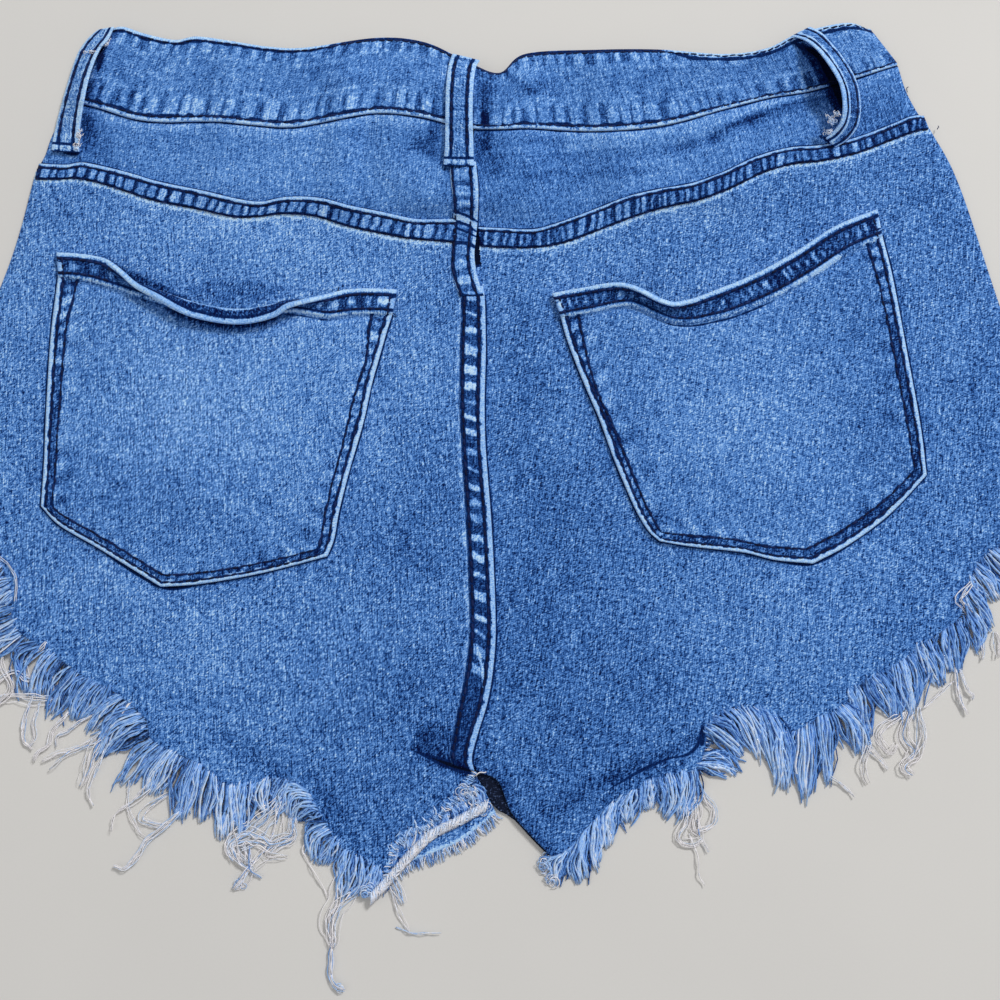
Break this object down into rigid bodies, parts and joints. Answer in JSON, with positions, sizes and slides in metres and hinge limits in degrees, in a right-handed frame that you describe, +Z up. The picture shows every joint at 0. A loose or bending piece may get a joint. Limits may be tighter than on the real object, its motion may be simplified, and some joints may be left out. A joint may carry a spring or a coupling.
{
  "type": "denim shorts",
  "caption": "Women's cut-off stretch denim shorts laid flat, back up, with patch pockets, yokes, belt loops and frayed leg hems.",
  "frame": {"origin": "middle of the garment's box, on the surface it lies on", "axes": "+X to the wearer's right, along the waistband; +Y towards the waist; +Z up, out of the back of the garment"},
  "size_m": [0.443, 0.3716, 0.0175],
  "materials": {
    "denim": "mid-blue stretch denim, fine heathered twill, matte",
    "denim_patches": "the same denim, washed lighter, matte",
    "frayed_thread": "loose light blue and white threads, matte",
    "button_metal": "pressed metal, satin"
  },
  "bodies": {
    "root": {"back_panel_left": "denim", "back_panel_right": "denim", "yoke_left": "denim", "yoke_right": "denim", "waistband_back": "denim", "waistband_front_left": "denim", "waistband_front_right": "denim", "front_panel_left": "denim", "front_panel_right": "denim", "pocket_back_left": "denim_patches", "pocket_back_right": "denim_patches", "belt_loop_back_center": "denim_patches", "belt_loop_back_left": "denim_patches", "belt_loop_back_right": "denim_patches", "belt_loop_front_left": "denim_patches", "belt_loop_front_right": "denim_patches", "fringe_back_left": "frayed_thread", "fringe_back_right": "frayed_thread", "fringe_front_left": "frayed_thread", "fringe_front_right": "frayed_thread", "button": "button_metal"}
  },
  "joints": []
}
